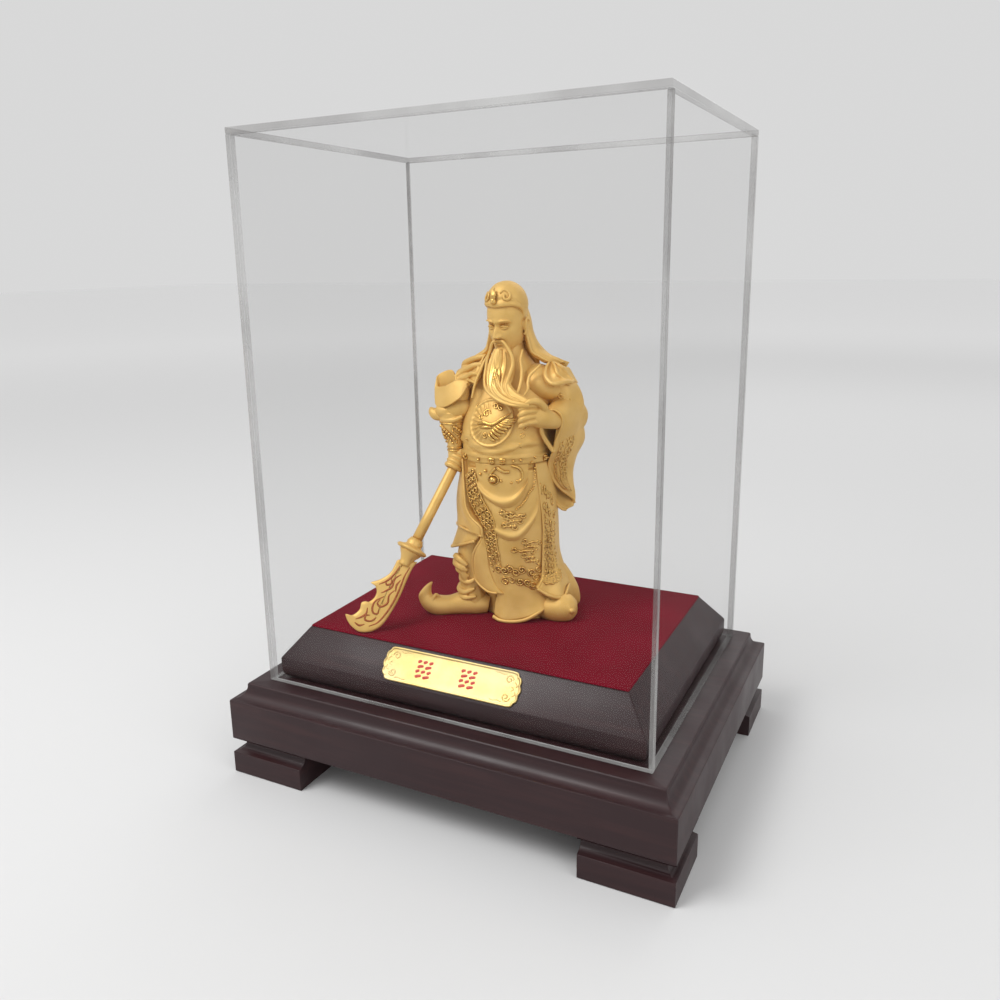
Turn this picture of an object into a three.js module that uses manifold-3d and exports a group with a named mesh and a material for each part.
// A moulded figure of a standing general on a lacquered plinth under a clear acrylic cover.
// Millimetres, +Z up. The origin is under the middle of the plinth, and -Y is the front.
import * as THREE from 'three';
import { mergeVertices } from 'three/addons/utils/BufferGeometryUtils.js';
import Module from 'manifold-3d';

const wasm = await Module();
wasm.setup();

// Plinth board and its feet
const PLINTH_WIDTH = 240;
const PLINTH_DEPTH = 190;
const FOOT_HEIGHT = 20;
const FOOT_WIDTH = 44;
const FOOT_DEPTH = 37;
const FOOT_NECK_HEIGHT = 8;
const FOOT_NECK_DEPTH = 5;
const BOARD_FACE_HEIGHT = 22;
const BOARD_COVE_RISE = 7;
const BOARD_COVE_INSET = 7;
const BOARD_BEAD = 1;

// Acrylic cover
const COVER_MARGIN = 15.5;
const COVER_HEIGHT = 276;
const COVER_WALL = 3;
const COVER_CLEARANCE = 1.4;

// Bevelled display block with its velvet panel
const RISER_HEIGHT = 5.5;
const RISER_INSET = 4.5;
const FASCIA_HEIGHT = 6;
const CHAMFER_INSET = 12;
const CHAMFER_RISE = 15.5;
const VELVET_THICKNESS = 1;
const VELVET_MARGIN = 0.2;

// Name plate on the front bevel
const PLATE_WIDTH = 76;
const PLATE_HEIGHT = 17;
const PLATE_THICKNESS = 0.6;
const PLATE_SCALLOP = 0.8;

// Figure and halberd: their forms are drawn in hundredths of the figure's height
const FIGURE_HEIGHT = 177;
const FIGURE_X = -3.6;
const FIGURE_Y = 6;
const POLE_CLEARANCE = 0.3;
const GLUE_GAP = 0.3;
const HOLE_BELOW_FIST = 14;
const EMBLEM_ANGLE = 9;
const EMBLEM_HEIGHT = 59.6;
const EMBLEM_RADIUS = 7.2;
const CUT_WIDTH = 100;
const CUT_DEPTH = 20;

const COVE_STEPS = 6;

const boardTop = FOOT_HEIGHT + BOARD_FACE_HEIGHT + BOARD_COVE_RISE + BOARD_BEAD;
const coverWidth = PLINTH_WIDTH - 2 * COVER_MARGIN;
const coverDepth = PLINTH_DEPTH - 2 * COVER_MARGIN;
const coverInset = COVER_WALL + COVER_CLEARANCE;
const blockHalfX = coverWidth / 2 - coverInset;
const blockHalfY = coverDepth / 2 - coverInset;
const fasciaTop = boardTop + RISER_HEIGHT + FASCIA_HEIGHT;
const blockTop = fasciaTop + CHAMFER_RISE;
const velvetTop = blockTop + VELVET_THICKNESS;

const V = (x, y, z) => new THREE.Vector3(x, y, z);
const deg = THREE.MathUtils.degToRad;

const lacquer = new THREE.MeshStandardMaterial({ color: 0x3a2224, roughness: 0.35, metalness: 0 });
const velvet = new THREE.MeshStandardMaterial({ color: 0x741a2c, roughness: 0.95, metalness: 0 });
const gold = new THREE.MeshStandardMaterial({ color: 0xdcb068, roughness: 0.45, metalness: 0.6 });
const foil = new THREE.MeshStandardMaterial({ color: 0xe0bf78, roughness: 0.3, metalness: 0.8 });
const acrylic = new THREE.MeshStandardMaterial({
  color: 0xf4f6f6, roughness: 0.05, metalness: 0, transparent: true, opacity: 0.2,
});

const object = new THREE.Group();

function add(name, geometry, material, parent = object) {
  const mesh = new THREE.Mesh(geometry, material);
  mesh.name = name;
  parent.add(mesh);
  return mesh;
}

// Turns a closed mesh inside out if its faces point inwards, which its signed volume tells.
function outward(geometry) {
  const p = geometry.attributes.position;
  const index = geometry.index.array;
  const [a, b, c] = [V(), V(), V()];
  let volume = 0;
  for (let i = 0; i < index.length; i += 3) {
    a.fromBufferAttribute(p, index[i]);
    b.fromBufferAttribute(p, index[i + 1]);
    c.fromBufferAttribute(p, index[i + 2]);
    volume += a.dot(b.cross(c));
  }
  if (volume < 0) {
    for (let i = 0; i < index.length; i += 3) {
      [index[i + 1], index[i + 2]] = [index[i + 2], index[i + 1]];
    }
  }
  return geometry;
}

function closedMesh(points, faces) {
  const geometry = new THREE.BufferGeometry().setFromPoints(points);
  geometry.setIndex(faces.flat());
  return outward(geometry);
}

// A skin over a stack of rings with equal numbers of points, closed by a fan at each end.
function skin(rings) {
  const sides = rings[0].length;
  const points = rings.flat();
  const faces = [];
  for (let r = 0; r + 1 < rings.length; r++) {
    for (let s = 0; s < sides; s++) {
      const [a, b] = [r * sides + s, r * sides + ((s + 1) % sides)];
      faces.push([a, b, b + sides], [a, b + sides, a + sides]);
    }
  }
  for (const [r, flip] of [[0, true], [rings.length - 1, false]]) {
    const centre = points.length;
    points.push(rings[r].reduce((sum, p) => sum.add(p), V(0, 0, 0)).divideScalar(sides));
    for (let s = 0; s < sides; s++) {
      const [a, b] = [r * sides + s, r * sides + ((s + 1) % sides)];
      faces.push(flip ? [centre, b, a] : [centre, a, b]);
    }
  }
  return closedMesh(points, faces);
}

// A cloth between an outer and an inner surface, both functions of u and v from 0 to 1.
function cloth(outer, inner, countU, countV) {
  const points = [];
  const at = (i, j, side) => (j * (countU + 1) + i) * 2 + side;
  for (let j = 0; j <= countV; j++) {
    for (let i = 0; i <= countU; i++) {
      points.push(outer(i / countU, j / countV), inner(i / countU, j / countV));
    }
  }
  const faces = [];
  const quad = (a, b, c, d) => faces.push([a, b, c], [a, c, d]);
  for (let j = 0; j < countV; j++) {
    for (let i = 0; i < countU; i++) {
      quad(at(i, j, 0), at(i + 1, j, 0), at(i + 1, j + 1, 0), at(i, j + 1, 0));
      quad(at(i, j, 1), at(i, j + 1, 1), at(i + 1, j + 1, 1), at(i + 1, j, 1));
    }
    quad(at(0, j, 0), at(0, j + 1, 0), at(0, j + 1, 1), at(0, j, 1));
    quad(at(countU, j, 0), at(countU, j, 1), at(countU, j + 1, 1), at(countU, j + 1, 0));
  }
  for (let i = 0; i < countU; i++) {
    quad(at(i, 0, 0), at(i, 0, 1), at(i + 1, 0, 1), at(i + 1, 0, 0));
    quad(at(i, countV, 0), at(i + 1, countV, 0), at(i + 1, countV, 1), at(i, countV, 1));
  }
  return closedMesh(points, faces);
}

// Catmull-Rom value of every column of a table at the key t of its first column.
function rowAt(rows, t) {
  const last = rows.length - 1;
  const k = Math.min(Math.max(rows.findLastIndex((row) => row[0] <= t), 0), last - 1);
  const f = Math.min(Math.max((t - rows[k][0]) / (rows[k + 1][0] - rows[k][0]), 0), 1);
  const [a, b, c, d] = [rows[Math.max(k - 1, 0)], rows[k], rows[k + 1], rows[Math.min(k + 2, last)]];
  return b.map((value, i) => {
    const span = c[0] - b[0];
    const slopeB = (c[i] - a[i]) / (c[0] - a[0]) * span;
    const slopeC = (d[i] - b[i]) / (d[0] - b[0]) * span;
    const [f2, f3] = [f * f, f * f * f];
    return value * (2 * f3 - 3 * f2 + 1) + slopeB * (f3 - 2 * f2 + f)
      + c[i] * (3 * f2 - 2 * f3) + slopeC * (f3 - f2);
  });
}

// A limb, strand or roll: an oval section carried along a smooth path. Each row of the table
// holds x, y, z and the two radii, the first of them square to the path and to the hint.
function limb(rows, { sides = 8, steps = 8, hint = V(0, -1, 0) } = {}) {
  const keyed = rows.map((row, i) => [i / (rows.length - 1), ...row]);
  const rings = [];
  for (let k = 0; k <= steps; k++) {
    const t = k / steps;
    const [, x, y, z, wide, deep = wide] = rowAt(keyed, t);
    const before = rowAt(keyed, Math.max(t - 0.01, 0));
    const after = rowAt(keyed, Math.min(t + 0.01, 1));
    const tangent = V(after[1] - before[1], after[2] - before[2], after[3] - before[3]).normalize();
    const across = tangent.clone().cross(hint).normalize();
    const over = across.clone().cross(tangent);
    rings.push(Array.from({ length: sides }, (_, s) => {
      const angle = 2 * Math.PI * s / sides;
      return V(x, y, z).addScaledVector(across, wide * Math.cos(angle))
        .addScaledVector(over, deep * Math.sin(angle));
    }));
  }
  return skin(rings);
}

// An egg or ball with three radii, turned by Euler angles in degrees.
function blob(x, y, z, rx, ry, rz, turn = [0, 0, 0], round = 7, tall = 5) {
  const geometry = new THREE.SphereGeometry(1, round, tall).rotateX(Math.PI / 2);
  geometry.scale(rx, ry, rz);
  geometry.applyMatrix4(new THREE.Matrix4().makeRotationFromEuler(new THREE.Euler(...turn.map(deg))));
  return geometry.translate(x, y, z);
}

function toSolid(geometry) {
  const bare = geometry.clone();
  bare.deleteAttribute('normal');
  bare.deleteAttribute('uv');
  const merged = mergeVertices(bare, 1e-5);
  const kept = [];
  for (let i = 0; i < merged.index.count; i += 3) {
    const [a, b, c] = [0, 1, 2].map((k) => merged.index.getX(i + k));
    if (a !== b && b !== c && c !== a) kept.push(a, b, c);
  }
  return new wasm.Manifold(new wasm.Mesh({
    numProp: 3,
    vertProperties: merged.attributes.position.array,
    triVerts: new Uint32Array(kept),
  }));
}

function toGeometry(solid) {
  const mesh = solid.getMesh();
  const geometry = new THREE.BufferGeometry();
  geometry.setAttribute('position', new THREE.BufferAttribute(mesh.vertProperties, 3));
  geometry.setIndex(new THREE.BufferAttribute(mesh.triVerts, 1));
  return geometry;
}

const joined = (geometries) => geometries.map(toSolid).reduce((whole, next) => whole.add(next));

// A rectangular slab with a moulded edge: each row of the profile is an inset and a height.
function mouldedSlab(halfX, halfY, profile) {
  return skin(profile.map(([inset, z]) => {
    const [x, y] = [halfX - inset, halfY - inset];
    return [V(-x, -y, z), V(x, -y, z), V(x, y, z), V(-x, y, z)];
  }));
}

// Insets and heights along a quarter of a hollow that rises by rise and runs in by inset.
function cove(inset, rise, z, steps = COVE_STEPS) {
  return Array.from({ length: steps + 1 }, (_, k) => {
    const angle = Math.PI / 2 * k / steps;
    return [inset * Math.sin(angle), z + rise * (1 - Math.cos(angle))];
  });
}

// Plinth
function plinthBoard() {
  const faceTop = FOOT_HEIGHT + BOARD_FACE_HEIGHT;
  const bead = [BOARD_COVE_INSET + BOARD_BEAD, boardTop];
  return mouldedSlab(PLINTH_WIDTH / 2, PLINTH_DEPTH / 2,
    [[0, FOOT_HEIGHT], ...cove(BOARD_COVE_INSET, BOARD_COVE_RISE, faceTop), bead]);
}

// The two outer faces of a foot have a round neck under the board, and its inner faces are plain.
function foot(sideX, sideY) {
  const [outerX, outerY] = [PLINTH_WIDTH / 2, PLINTH_DEPTH / 2];
  const neck = Array.from({ length: COVE_STEPS + 1 }, (_, k) => {
    const angle = Math.PI * k / COVE_STEPS;
    const z = FOOT_HEIGHT - FOOT_NECK_HEIGHT / 2 * (1 + Math.cos(angle));
    return [FOOT_NECK_DEPTH * Math.sin(angle), z];
  });
  const rings = [[0, 0], ...neck].map(([inset, z]) => {
    const [x1, y1] = [sideX * (outerX - inset), sideY * (outerY - inset)];
    const [x0, y0] = [sideX * (outerX - FOOT_WIDTH), sideY * (outerY - FOOT_DEPTH)];
    return [V(x0, y0, z), V(x1, y0, z), V(x1, y1, z), V(x0, y1, z)];
  });
  return skin(rings);
}

add('plinth_board', plinthBoard(), lacquer);
for (const [rank, sideY] of [['front', -1], ['back', 1]]) {
  for (const [flank, sideX] of [['left', -1], ['right', 1]]) {
    add(`foot_${rank}_${flank}`, foot(sideX, sideY), lacquer);
  }
}

// Display block
function displayBlock() {
  const riser = cove(RISER_INSET, RISER_HEIGHT, 0).reverse()
    .map(([inset, z]) => [inset, boardTop + RISER_HEIGHT - z]);
  return mouldedSlab(blockHalfX, blockHalfY,
    [...riser, [0, fasciaTop], [CHAMFER_INSET, blockTop]]);
}

function velvetPanel() {
  const inset = CHAMFER_INSET + VELVET_MARGIN;
  return new THREE.BoxGeometry(2 * (blockHalfX - inset), 2 * (blockHalfY - inset), VELVET_THICKNESS)
    .translate(0, 0, blockTop + VELVET_THICKNESS / 2);
}

add('display_block', displayBlock(), lacquer);
add('velvet_panel', velvetPanel(), velvet);

// Name plate: straight long edges, and ends that swell out in a bracket of small scallops.
function namePlate() {
  const outline = new THREE.Shape();
  const [halfX, halfY] = [PLATE_WIDTH / 2, PLATE_HEIGHT / 2];
  const straight = halfX - 0.36 * PLATE_HEIGHT;
  const scallops = 5;
  const steps = 4 * scallops;
  for (const side of [1, -1]) {
    for (let k = 0; k <= steps; k++) {
      const angle = Math.PI * (k / steps - 0.5);
      const scallop = PLATE_SCALLOP * (Math.abs(Math.cos(scallops * angle)) - 1);
      const x = side * (straight + (halfX - straight + scallop) * Math.cos(angle) ** 0.7);
      const y = side * (halfY + scallop * Math.cos(angle)) * Math.sin(angle);
      outline[k === 0 && side === 1 ? 'moveTo' : 'lineTo'](x, y);
    }
  }
  return new THREE.ExtrudeGeometry(outline, { depth: PLATE_THICKNESS, bevelEnabled: false });
}

const chamferTilt = Math.atan2(CHAMFER_RISE, CHAMFER_INSET);
const plate = add('name_plate', namePlate(), foil);
plate.rotation.x = chamferTilt;
plate.position.set(0,
  -(blockHalfY - CHAMFER_INSET / 2) - GLUE_GAP * Math.sin(chamferTilt),
  fasciaTop + CHAMFER_RISE / 2 + GLUE_GAP * Math.cos(chamferTilt));

// Acrylic cover: four walls bonded at the corners, with the top sheet lying on them
const wallHeight = COVER_HEIGHT - COVER_WALL;
const wallMiddle = boardTop + wallHeight / 2;
for (const [name, side] of [['cover_front', -1], ['cover_back', 1]]) {
  add(name, new THREE.BoxGeometry(coverWidth, COVER_WALL, wallHeight), acrylic)
    .position.set(0, side * (coverDepth - COVER_WALL) / 2, wallMiddle);
}
for (const [name, side] of [['cover_left', -1], ['cover_right', 1]]) {
  add(name, new THREE.BoxGeometry(COVER_WALL, coverDepth - 2 * COVER_WALL, wallHeight), acrylic)
    .position.set(side * (coverWidth - COVER_WALL) / 2, 0, wallMiddle);
}
add('cover_top', new THREE.BoxGeometry(coverWidth, coverDepth, COVER_WALL), acrylic)
  .position.set(0, 0, boardTop + COVER_HEIGHT - COVER_WALL / 2);

// The figure. Angles round the robe run from the front towards the figure's left, in degrees.
// Rows of the robe: height, middle x and y, half width and half depth.
const ROBE = [
  [-1, 3.4, 0.6, 12.2, 10.9],
  [5, 3.2, 0.6, 11.9, 10.8],
  [12, 2.2, 0.6, 12.2, 11.2],
  [20, 1.0, 0.4, 13.0, 11.9],
  [28, 0.4, 0.2, 13.7, 12.4],
  [36, 0.0, 0.0, 13.9, 12.6],
  [43, 0.0, -0.3, 13.2, 12.1],
  [47, 0.0, -0.5, 12.9, 12.0],
  [52, 0.0, -0.9, 13.4, 12.6],
  [58, 0.0, -0.8, 13.5, 12.2],
  [64, 0.2, 0.2, 13.2, 10.6],
  [69, 0.4, 1.2, 12.8, 8.6],
  [73, 0.6, 1.6, 10.2, 7.0],
  [76.5, 0.8, 1.4, 6.4, 5.6],
  [80, 0.9, 0.6, 4.2, 4.4],
  [84, 0.9, 0.2, 3.6, 4.0],
];

// Long folds down the back of the robe, none on its front half, shallow above the belt.
function foldDepth(angle, z) {
  const back = Math.max(-Math.cos(angle - deg(25)), 0);
  const depth = z > 46 ? 0.25 * Math.min((z - 46) / 6, 1) : 0.3 + 0.9 * Math.min((46 - z) / 40, 1);
  return back * depth * Math.cos(10 * angle + 0.9 * Math.sin(0.09 * z));
}

function robePoint(angleDeg, z, out = 0) {
  const [, cx, cy, rx, ry] = rowAt(ROBE, z);
  const angle = deg(angleDeg);
  const grow = out + foldDepth(angle, z);
  return V(cx + (rx + grow) * Math.sin(angle), cy - (ry + grow) * Math.cos(angle), z);
}

// The robe with its belt, whose rings hold a height and how far they stand out.
const BELT = [[44.3, 0], [44.7, 1.2], [48.4, 1.2], [48.8, 0]];

function robe() {
  const [sides, steps] = [28, 12];
  const [low, high] = [ROBE[0][0], ROBE[ROBE.length - 1][0]];
  const plain = Array.from({ length: steps + 1 }, (_, k) => [low + (high - low) * k / steps, 0])
    .filter(([z]) => z < BELT[0][0] - 1 || z > BELT[3][0] + 1);
  const rings = [...plain, ...BELT].sort((a, b) => a[0] - b[0]);
  return skin(rings.map(([z, out]) => (
    Array.from({ length: sides }, (_, s) => robePoint(360 * s / sides, z, out))
  )));
}

// A panel that lies on the robe between two edges. Each row of the table holds a height, the
// angles of the left and right edges, and how far the cloth stands out at each of them. The hem
// and the flare shift the lower edge up and out. The back of the cloth is sunk in the robe, but
// where it stands well out it keeps its own thickness.
const none = () => 0;

function panel(rows, { countU = 8, countV = 8, hem = none, flare = none } = {}) {
  const [top, bottom] = [rows[0][0], rows[rows.length - 1][0]];
  const keyed = rows.map((row) => [top - row[0], ...row.slice(1)]);
  const layer = (depth) => (u, v) => {
    const drop = (top - bottom) * v;
    const [, left, right, outLeft, outRight] = rowAt(keyed, drop);
    const out = outLeft + (outRight - outLeft) * u + flare(u) * v ** 4;
    return robePoint(left + (right - left) * u, top - drop + hem(u) * v, depth(out));
  };
  const back = (out) => Math.min(-1 + 1.7 * Math.max(out - 2, 0), out - 1.1);
  return cloth(layer((out) => out), layer(back), countU, countV);
}

// The round emblem on the chest, a low disc that follows the robe.
const CHEST_RADIUS = 13;

function roundel(angle, z, radius) {
  const perUnit = THREE.MathUtils.RAD2DEG / CHEST_RADIUS;
  const steps = [[1, -0.8], [1, 0.5], [0.9, 0.9], [0.45, 0.9], [0.02, 0.9]];
  return skin(steps.map(([share, out]) => Array.from({ length: 14 }, (_, s) => {
    const turn = 2 * Math.PI * s / 14;
    const reach = share * radius;
    return robePoint(angle + reach * Math.sin(turn) * perUnit, z + reach * Math.cos(turn), out);
  })));
}

const scoop = (depth) => (u) => -depth * Math.sqrt(Math.sin(Math.PI * u));

function skirt() {
  return [
    // long apron down the front, its left edge swinging in and out again
    panel([
      [46, -42, 66, 0.9, 0.9],
      [40, -30, 70, 1.0, 1.0],
      [34, -13, 72, 1.0, 1.0],
      [27, -2, 71, 1.0, 1.0],
      [20, -10, 71, 1.0, 1.0],
      [13, -13, 73, 0.9, 0.9],
      [7, -2, 76, 0.9, 1.0],
      [3, 0, 80, 1.6, 1.4],
      [-1, 2, 82, 2.4, 2.0],
    ], { countU: 6, countV: 8 }),
    // two rounded tiers over it
    panel([[45.6, -38, 62, 1.9, 1.9], [43, -36, 61, 2.3, 2.3]],
      { countU: 9, countV: 2, hem: scoop(8.5) }),
    panel([[35, -12, 66, 1.5, 1.5], [32, -7, 64, 2.1, 2.1]],
      { countU: 8, countV: 2, hem: scoop(6.5) }),
    // coat skirt on the right hip: its front edge sweeps to the apron, and its hem curls out
    panel([
      [45, -140, -46, 0.9, 1.2],
      [40, -140, -36, 1.4, 1.8],
      [35, -139, -17, 1.9, 2.2],
      [30, -138, -11, 2.3, 2.4],
      [25, -137, -12, 2.7, 2.4],
      [20.5, -136, -15, 3.2, 2.4],
    ], {
      countU: 7,
      countV: 5,
      hem: (u) => 6.5 * THREE.MathUtils.smoothstep(u, 0.64, 1) + 0.8 * Math.cos(4 * Math.PI * u),
      flare: (u) => 3.8 * Math.exp(-(((u - 0.62) / 0.17) ** 2)),
    }),
    // turned-back lining beside the leg
    panel([
      [28, -16, 2, 1.8, 1.5],
      [23, -27, -4, 2.4, 1.5],
      [18, -31, -8, 2.6, 1.5],
      [13, -26, -10, 2.4, 1.5],
      [9, -14, -2, 2.0, 1.5],
      [6, 2, 9, 2.2, 1.8],
    ], { countU: 2, countV: 6 }),
    // left side of the robe, spreading over the boot
    panel([
      [46, 62, 152, 0.8, 0.8],
      [30, 68, 152, 1.0, 1.2],
      [18, 70, 152, 1.0, 1.6],
      [11, 66, 152, 2.2, 2.8],
      [6.5, 58, 150, 4.8, 4.4],
    ], { countU: 6, countV: 5, hem: (u) => 1.2 * Math.sin(4 * Math.PI * u) }),
    // tail of the robe behind the left boot
    limb([
      [8, 9, 16, 5, 2],
      [13, 11.5, 9, 5.2, 2.2],
      [16.5, 13.2, 3.5, 4.6, 2.2],
      [18.2, 14.4, 0, 4.2, 1.8],
    ], { sides: 8, steps: 5, hint: V(0.9, 0.4, 0.4) }),
  ];
}

function legs() {
  return [
    // right knee with its knot, and the trouser gathered into the boot
    limb([
      [-7.5, -4.5, 28, 4.6, 4.4],
      [-9.6, -7.4, 18, 4.3, 4.3],
      [-9.6, -8.4, 11, 3.3, 3.5],
      [-9.4, -9.2, 5, 3.4, 3.6],
      [-9.0, -9.4, 1, 3.4, 3.6],
    ], { sides: 8, steps: 6 }),
    blob(-12.0, -10.4, 16.6, 2.2, 1.9, 2.2),
    blob(-9.6, -11.6, 13.4, 2.0, 1.6, 2.6, [0, 0, 20]),
    // right boot, its toe turned up
    limb([
      [-4.0, -8.0, 2.6, 2.6, 3.0],
      [-9.5, -10.6, 3.2, 3.6, 4.2],
      [-14.5, -13.4, 2.8, 3.4, 3.8],
      [-18.2, -15.6, 3.2, 3.2, 3.4],
      [-20.3, -16.9, 5.6, 2.4, 1.7],
      [-19.6, -16.5, 8.6, 1.3, 0.9],
      [-18.8, -16.1, 10.4, 0.4, 0.3],
    ], { sides: 8, steps: 9, hint: V(-0.3, 0.5, 0.85) }),
    // left boot under the hem, its toe turned up to a stud
    limb([
      [8.0, 1.0, 2.8, 4.2, 3.6],
      [13.4, -3.0, 3.0, 5.0, 4.2],
      [18.2, -4.4, 3.0, 4.8, 4.2],
      [21.4, -3.4, 2.8, 3.4, 3.0],
      [22.8, -2.8, 3.0, 1.2, 1.2],
    ], { sides: 8, steps: 6, hint: V(0, 0, 1) }),
    blob(21.4, -5.6, 4.2, 1.2, 1.2, 1.3, [0, 0, 0], 6, 4),
    blob(16.8, -8.7, 3.6, 1.0, 1.0, 1.0, [0, 0, 0], 6, 4),
  ];
}

// The left sleeve hangs as a bag from the forearm, with its mouth open to the front.
const SLEEVE = [
  [18.4, 3.6, 61.0, 6.2, 3.4],
  [18.0, 3.0, 55.0, 8.6, 3.8],
  [16.6, 1.8, 48.0, 6.8, 3.3],
  [16.6, 2.4, 40.0, 5.5, 2.8],
  [17.0, 3.8, 34.5, 4.2, 2.3],
  [17.0, 4.4, 31.6, 2.2, 1.2],
];

function leftArm() {
  const hint = V(0.94, -0.35, 0);
  const bag = toSolid(limb(SLEEVE, { sides: 9, steps: 6, hint }));
  const hollow = SLEEVE.slice(1).map(([x, y, z, wide, deep]) => (
    [x + 0.5, y - 2.4, z + 1.0, wide * 0.82, Math.max(deep - 0.9, 0.4)]
  ));
  const mouth = toSolid(limb(hollow, { sides: 7, steps: 4, hint }));
  const arm = joined([
    limb([
      [11.0, 1.2, 71.5, 4.6, 4.6],
      [15.0, 4.2, 67.5, 5.4, 5.2],
      [17.6, 6.0, 62.0, 5.8, 5.2],
      [18.4, 6.0, 56.6, 4.6, 4.0],
    ], { sides: 9, steps: 4, hint: V(0, 1, 0) }),
    limb([
      [18.6, 7.5, 57.0, 3.6, 3.8],
      [18.2, 2.6, 57.2, 4.9, 4.6],
      [17.4, -2.4, 58.4, 4.3, 4.2],
      [16.4, -6.4, 61.0, 3.1, 3.3],
      [15.4, -8.6, 62.8, 1.5, 1.7],
    ], { sides: 8, steps: 4, hint: V(0, 0, 1) }),
  ]);
  return bag.subtract(mouth).add(arm);
}

function leftHand() {
  const finger = (rows) => limb(rows, { sides: 5, steps: 3, hint: V(0, 0, 1) });
  const knuckles = Array.from({ length: 4 }, (_, k) => finger([
    [14.6, -10.2, 66.0 - 1.7 * k, 1.1, 1.1],
    [12.4, -12.6, 66.1 - 1.8 * k, 1.1, 1.1],
    [10.9, -13.4, 65.4 - 1.7 * k, 0.8, 0.9],
  ]));
  return [
    blob(15.0, -8.8, 63.0, 4.4, 2.7, 3.9, [0, 12, 42]),
    ...knuckles,
    finger([[15.6, -10.2, 66.4, 1.2], [13.6, -12.4, 67.4, 1.0], [11.8, -13.8, 66.6, 0.6]]),
  ];
}

// The right sleeve is pushed up into a deep cuff at the elbow, with a roll below it.
function rightArm() {
  const hint = V(0, 1, 0);
  const cuff = toSolid(limb([
    [-16.9, -5.8, 61.6, 2.0, 2.0],
    [-16.9, -5.6, 63.2, 4.2, 3.9],
    [-16.8, -5.8, 66.0, 5.4, 5.0],
    [-16.2, -7.0, 69.4, 5.8, 5.3],
  ], { sides: 10, steps: 3, hint }));
  const inside = toSolid(limb([
    [-16.7, -5.8, 64.8, 2.8, 2.6],
    [-16.4, -6.3, 67.0, 4.5, 4.1],
    [-15.3, -8.4, 72.6, 5.3, 4.8],
  ], { sides: 8, steps: 2, hint }));
  const rest = joined([
    limb([
      [-9.5, 1.0, 72.4, 4.2, 4.2],
      [-12.6, -1.6, 70.4, 3.8, 3.8],
      [-15.4, -4.4, 66.5, 3.4, 3.4],
      [-17.0, -6.2, 61.0, 3.4, 3.4],
    ], { sides: 8, steps: 4 }),
    blob(-17.6, -6.8, 61.0, 4.9, 4.2, 2.4, [0, -10, 0], 10, 5),
    limb([
      [-17.2, -6.6, 60.5, 3.2, 3.2],
      [-16.4, -6.8, 55.0, 2.8, 2.8],
      [-15.2, -7.4, 49.8, 2.2, 2.3],
      [-14.4, -7.8, 46.8, 1.9, 2.1],
    ], { sides: 8, steps: 4 }),
  ]);
  return cuff.subtract(inside).add(rest);
}

// The two cloths of the cloud collar, each a low cap with rolled folds along its edge.
function shoulders() {
  const roll = (rows) => limb(rows, { sides: 5, steps: 3, hint: V(0, 0, 1) });
  const lapel = (rows) => roll(rows.map(([angle, z, r]) => [...robePoint(angle, z, 0.1).toArray(), r]));
  return [
    blob(11.5, 1.6, 72.0, 7.4, 7.0, 2.8, [8, 26, 0], 9, 5),
    blob(-9.6, 0.8, 72.8, 6.0, 6.0, 2.6, [8, -24, 0], 9, 5),
    roll([[8.6, -5.6, 73.0, 0.8], [11.8, -5.2, 70.2, 1.0], [15.6, -2.4, 69.0, 1.1],
      [18.6, 2.6, 70.0, 0.8]]),
    roll([[10.6, -3.4, 75.0, 0.7], [13.6, -3.2, 72.6, 0.8], [16.6, -0.6, 71.6, 0.8],
      [18.4, 3.6, 71.6, 0.6]]),
    roll([[-6.4, -5.0, 74.2, 0.7], [-9.8, -4.4, 71.8, 0.9], [-13.4, -2.2, 71.2, 0.8]]),
    roll([[-6.0, -3.6, 76.0, 0.6], [-9.4, -2.8, 74.6, 0.8], [-13.0, 0.0, 74.0, 0.6]]),
    lapel([[-52, 79, 0.9], [-40, 74.5, 1.1], [-29, 69.5, 1.0]]),
    lapel([[62, 79, 0.9], [56, 74.0, 1.1], [44, 69.0, 1.0]]),
  ];
}

// The head is drawn round its own middle, then tipped down and turned.
const HEAD_AT = V(0.8, -1.0, 88.0);
const HEAD_TIP = 12;
const HEAD_TURN = 4;

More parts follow.
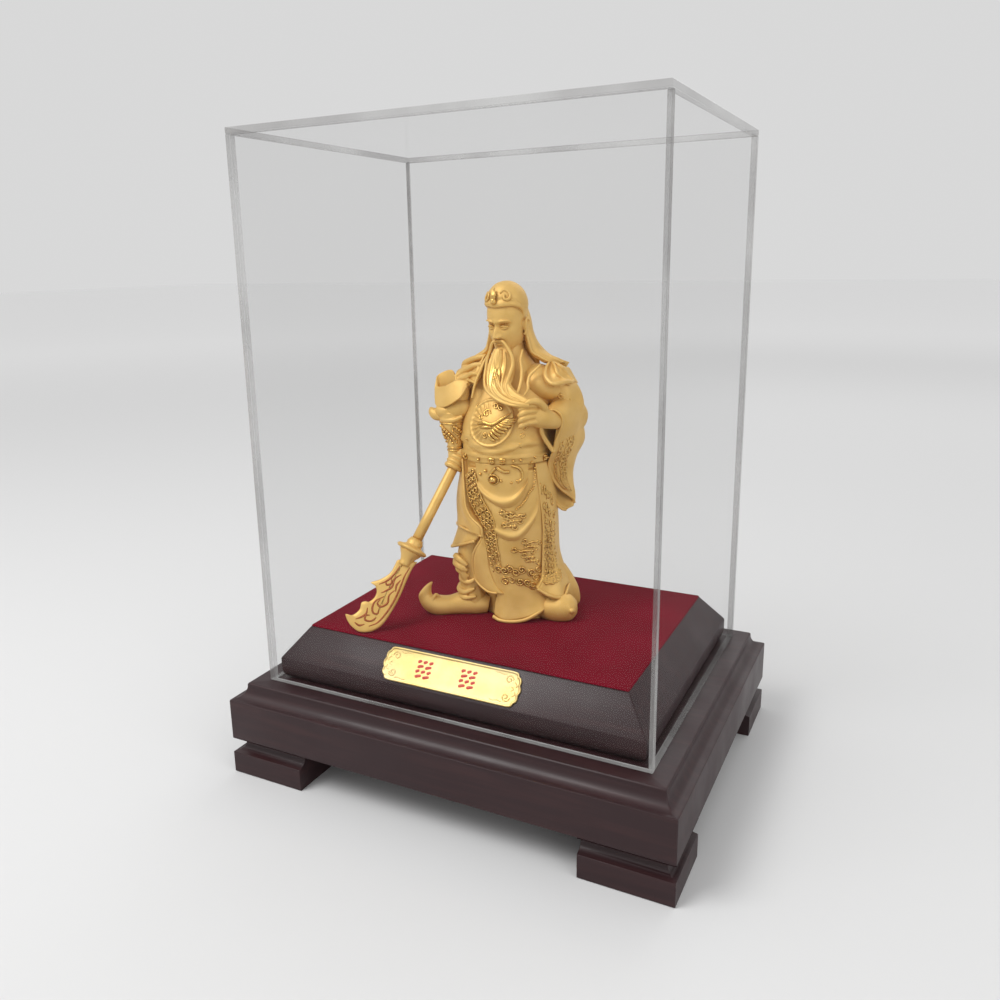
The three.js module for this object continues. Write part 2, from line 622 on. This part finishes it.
function head() {
  const pair = (make) => [make(-1), make(1)];
  const hatBand = Array.from({ length: 4 }, (_, k) => {
    const swell = 0.5 * Math.sin(Math.PI * k / 3);
    return Array.from({ length: 10 }, (_, s) => {
      const angle = 2 * Math.PI * s / 10;
      const [x, y] = [(5.3 + swell) * Math.sin(angle), 0.9 - (5.9 + swell) * Math.cos(angle)];
      return V(x, y, 3.4 + 0.5 * k - 0.3 * y);
    });
  });
  const forms = [
    blob(0, 0.4, 0.4, 5.2, 5.5, 6.4, [0, 0, 0], 10, 8),
    blob(0, -1.2, -4.0, 4.3, 4.2, 4.4, [0, 0, 0], 10, 6),
    limb([[0, -4.7, 1.6, 0.6, 0.6], [0, -5.7, -0.4, 0.7, 0.7], [0, -6.2, -1.9, 1.1, 0.8],
      [0, -5.2, -2.6, 0.8, 0.6]], { sides: 6, steps: 4 }),
    ...pair((s) => limb([[s * 0.8, -5.0, 1.7, 0.5], [s * 2.4, -4.9, 2.2, 0.6], [s * 4.2, -3.4, 1.9, 0.4]],
      { sides: 4, steps: 2, hint: V(0, 0, 1) })),
    ...pair((s) => blob(s * 2.1, -4.5, 0.5, 1.2, 0.7, 0.6, [0, 0, 0], 6, 4)),
    ...pair((s) => blob(s * 5.1, 0.6, -0.8, 0.7, 1.2, 2.0, [0, 0, s * 14], 6, 4)),
    blob(0, -5.1, -3.9, 1.3, 0.7, 0.6, [0, 0, 0], 6, 4),
    skin(hatBand),
    blob(0.3, 1.3, 6.0, 5.7, 6.0, 5.4, [0, 0, 0], 11, 7),
    blob(0, -5.2, 6.0, 1.5, 1.2, 1.5, [0, 0, 0], 6, 4),
    blob(0, -4.8, 8.2, 1.7, 1.0, 1.6, [0, 0, 0], 6, 4),
    ...pair((s) => blob(s * 3.6, -3.0, 8.2, 1.3, 1.3, 1.5, [0, 0, s * 45], 6, 4)),
  ];
  return forms.map((form) => form
    .rotateX(deg(HEAD_TIP)).rotateZ(deg(HEAD_TURN)).translate(...HEAD_AT.toArray()));
}

// The scarf tails fall from the hat over the left shoulder and down the back.
function scarf() {
  const fall = (rows, hint) => limb(rows, { sides: 6, steps: 5, hint });
  return [
    fall([
      [4.4, 1.2, 92.6, 2.0, 1.2],
      [5.2, 1.6, 87.0, 2.6, 1.6],
      [6.4, 2.6, 81.0, 2.8, 2.0],
      [10.4, 4.8, 76.4, 2.6, 2.0],
      [16.0, 9.2, 74.4, 1.4, 1.2],
    ], V(0.75, -0.4, 0.5)),
    fall([
      [-3.6, 1.6, 92.0, 1.8, 1.0],
      [-4.6, 2.6, 86.0, 2.4, 1.4],
      [-5.8, 4.0, 79.6, 2.4, 1.4],
      [-9.2, 6.6, 74.8, 1.6, 0.9],
    ], V(-0.75, -0.3, 0.5)),
    fall([
      [0.8, 4.4, 92.0, 4.2, 1.6],
      [0.8, 5.4, 84.0, 5.0, 1.8],
      [0.8, 6.8, 77.0, 6.0, 1.6],
      [0.8, 8.8, 68.0, 5.6, 1.2],
    ], V(0, 1, 0.2)),
  ];
}

// The long beard is drawn in locks that meet in the left hand.
function beard() {
  const lock = (rows, steps = 5, sides = 4) => limb(rows, { sides, steps });
  return [
    lock([
      [0.2, -5.4, 82.0, 2.8, 1.6],
      [0.5, -7.6, 77.0, 3.3, 1.9],
      [0.3, -9.8, 72.0, 3.2, 1.8],
      [1.4, -12.0, 67.6, 2.7, 1.6],
      [5.0, -13.8, 64.8, 1.8, 1.3],
      [9.2, -14.2, 64.2, 1.5, 1.2],
      [12.4, -12.8, 64.2, 1.3, 1.1],
    ], 8, 7),
    lock([[0.9, -7.0, 82.4, 0.6], [3.2, -7.6, 78.8, 0.8], [4.4, -9.0, 73.4, 0.8],
      [4.2, -11.4, 68.6, 0.7], [6.4, -13.4, 65.8, 0.5]]),
    lock([[-0.9, -7.0, 82.2, 0.6], [-3.0, -8.0, 78.2, 0.8], [-3.8, -10.0, 72.4, 0.8],
      [-2.2, -12.2, 67.6, 0.7], [2.6, -14.2, 65.0, 0.5]]),
    lock([[4.8, -3.4, 83.6, 0.8], [6.0, -5.2, 78.0, 0.9], [7.2, -8.0, 72.0, 0.8],
      [7.8, -10.8, 67.2, 0.7], [9.2, -13.2, 64.8, 0.5]]),
    lock([[8.0, -4.4, 76.4, 0.8], [9.2, -6.8, 72.2, 0.8], [9.2, -9.6, 68.2, 0.7],
      [9.8, -12.4, 65.4, 0.5]], 6),
    // the loose end below the hand
    lock([[13.0, -11.6, 62.6, 1.2, 1.0], [13.8, -9.8, 57.4, 1.4, 0.9], [15.0, -8.4, 52.8, 0.9, 0.6],
      [15.4, -7.6, 50.6, 0.3, 0.3]], 6, 6),
  ];
}

function rightFist(grip) {
  const fingers = Array.from({ length: 4 }, (_, k) => {
    const at = grip.at(-2.2 + 1.45 * k);
    return limb([2.9, 1.6, 0.2, -1.2].map((turn, i) => {
      const p = at.clone().addScaledVector(grip.side, 2.3 * Math.cos(turn))
        .addScaledVector(grip.front, 2.3 * Math.sin(turn));
      return [p.x, p.y, p.z, i === 3 ? 0.6 : 0.8];
    }), { sides: 4, steps: 4, hint: grip.along });
  });
  const palm = grip.at(0).addScaledVector(grip.side, -0.8);
  return [blob(palm.x, palm.y, palm.z, 2.7, 2.7, 3.0, [0, 0, 0], 8, 6), ...fingers];
}

// The halberd's line, from the middle of the guard up through the fist to its end in the robe.
const GUARD_AT = V(-21.0, -23.0, 22.4);
const FIST_AT = V(-13.5, -7.5, 46.8);
const POLE_RADIUS = 1.55;
const POLE_BEYOND_FIST = 10;

const along = FIST_AT.clone().sub(GUARD_AT).normalize();
const side = V(0.48, -0.81, 0.34).cross(along).normalize();
const grip = {
  along,
  side,
  front: along.clone().cross(side),
  at: (distance) => FIST_AT.clone().addScaledVector(along, distance),
};

function pole(radius, from, to) {
  const rows = [grip.at(from), grip.at(to)].map((p) => [...p.toArray(), radius]);
  return limb(rows, { sides: 10, steps: 1, hint: grip.front });
}

function halberd() {
  // the blade's outline, down from the guard and across towards its back
  const outline = new THREE.Shape();
  outline.moveTo(2.6, -3.2);
  outline.lineTo(4.6, 2.3);
  outline.quadraticCurveTo(8.0, 2.4, 10.4, 3.2);
  outline.quadraticCurveTo(12.4, 4.6, 14.0, 6.3);
  outline.quadraticCurveTo(14.2, 4.4, 15.6, 3.6);
  outline.quadraticCurveTo(17.6, 3.2, 19.2, 4.2);
  outline.quadraticCurveTo(19.4, 5.6, 20.6, 6.1);
  outline.quadraticCurveTo(22.4, 5.4, 24.0, 6.2);
  outline.quadraticCurveTo(25.4, 7.0, 25.6, 8.7);
  outline.quadraticCurveTo(28.4, 6.4, 28.2, 2.6);
  outline.quadraticCurveTo(26.6, -1.4, 22.4, -2.6);
  outline.quadraticCurveTo(14.0, -3.4, 8.0, -2.8);
  outline.quadraticCurveTo(4.6, -2.6, 2.6, -3.2);
  const blade = new THREE.ExtrudeGeometry(outline, {
    depth: 0.7, bevelEnabled: true, bevelThickness: 0.25, bevelSize: 0.3, bevelSegments: 1, curveSegments: 2,
  }).translate(0, 0, -0.35);
  const down = along.clone().negate();
  const frame = new THREE.Matrix4().makeBasis(down, side, down.clone().cross(side));
  blade.applyMatrix4(frame.setPosition(GUARD_AT));
  const turned = (profile, sides) => {
    const lathe = new THREE.LatheGeometry(profile.map(([r, h]) => new THREE.Vector2(r, h)), sides);
    lathe.applyMatrix4(new THREE.Matrix4().makeBasis(side, along, side.clone().cross(along)));
    return lathe.translate(...GUARD_AT.toArray());
  };
  const dish = [[0, -0.7], [4.2, -0.55], [4.7, 0], [4.2, 0.55], [2.8, 0.9], [1.9, 3.4], [0, 3.6]];
  const guard = turned(dish, 12);
  const neck = turned([[0, -5.2], [1.7, -4.2], [2.9, -2.6], [3.0, -0.6], [0, -0.2]], 10);
  return joined([pole(POLE_RADIUS, -FIST_AT.distanceTo(GUARD_AT), POLE_BEYOND_FIST), guard, neck, blade]);
}

const clearance = POLE_CLEARANCE / (FIGURE_HEIGHT / 100);
const shaftHole = pole(POLE_RADIUS + clearance, -HOLE_BELOW_FIST, POLE_BEYOND_FIST + clearance);

const figureForms = [
  robe(), roundel(EMBLEM_ANGLE, EMBLEM_HEIGHT, EMBLEM_RADIUS),
  ...skirt(), ...legs(), ...leftHand(), ...shoulders(), ...head(), ...scarf(), ...beard(),
  blob(...robePoint(6, 43.6, 2.2).toArray(), 1.3, 1.3, 1.3),
  ...rightFist(grip),
];

// Joins the forms, cuts them flat under the feet and sets the figure on the velvet.
function setOnVelvet(solid) {
  const s = FIGURE_HEIGHT / 100;
  return solid.scale([s, s, s]).translate([FIGURE_X, FIGURE_Y, velvetTop]);
}

const below = new THREE.BoxGeometry(CUT_WIDTH, CUT_WIDTH, CUT_DEPTH).translate(0, 0, -CUT_DEPTH / 2);
const carved = joined(figureForms).add(leftArm()).add(rightArm())
  .subtract(toSolid(shaftHole)).subtract(toSolid(below));
const figure = carved.decompose().reduce((most, body) => (body.volume() > most.volume() ? body : most));
add('figure', toGeometry(setOnVelvet(figure)), gold);
add('halberd', toGeometry(setOnVelvet(halberd())), gold);

export default object;
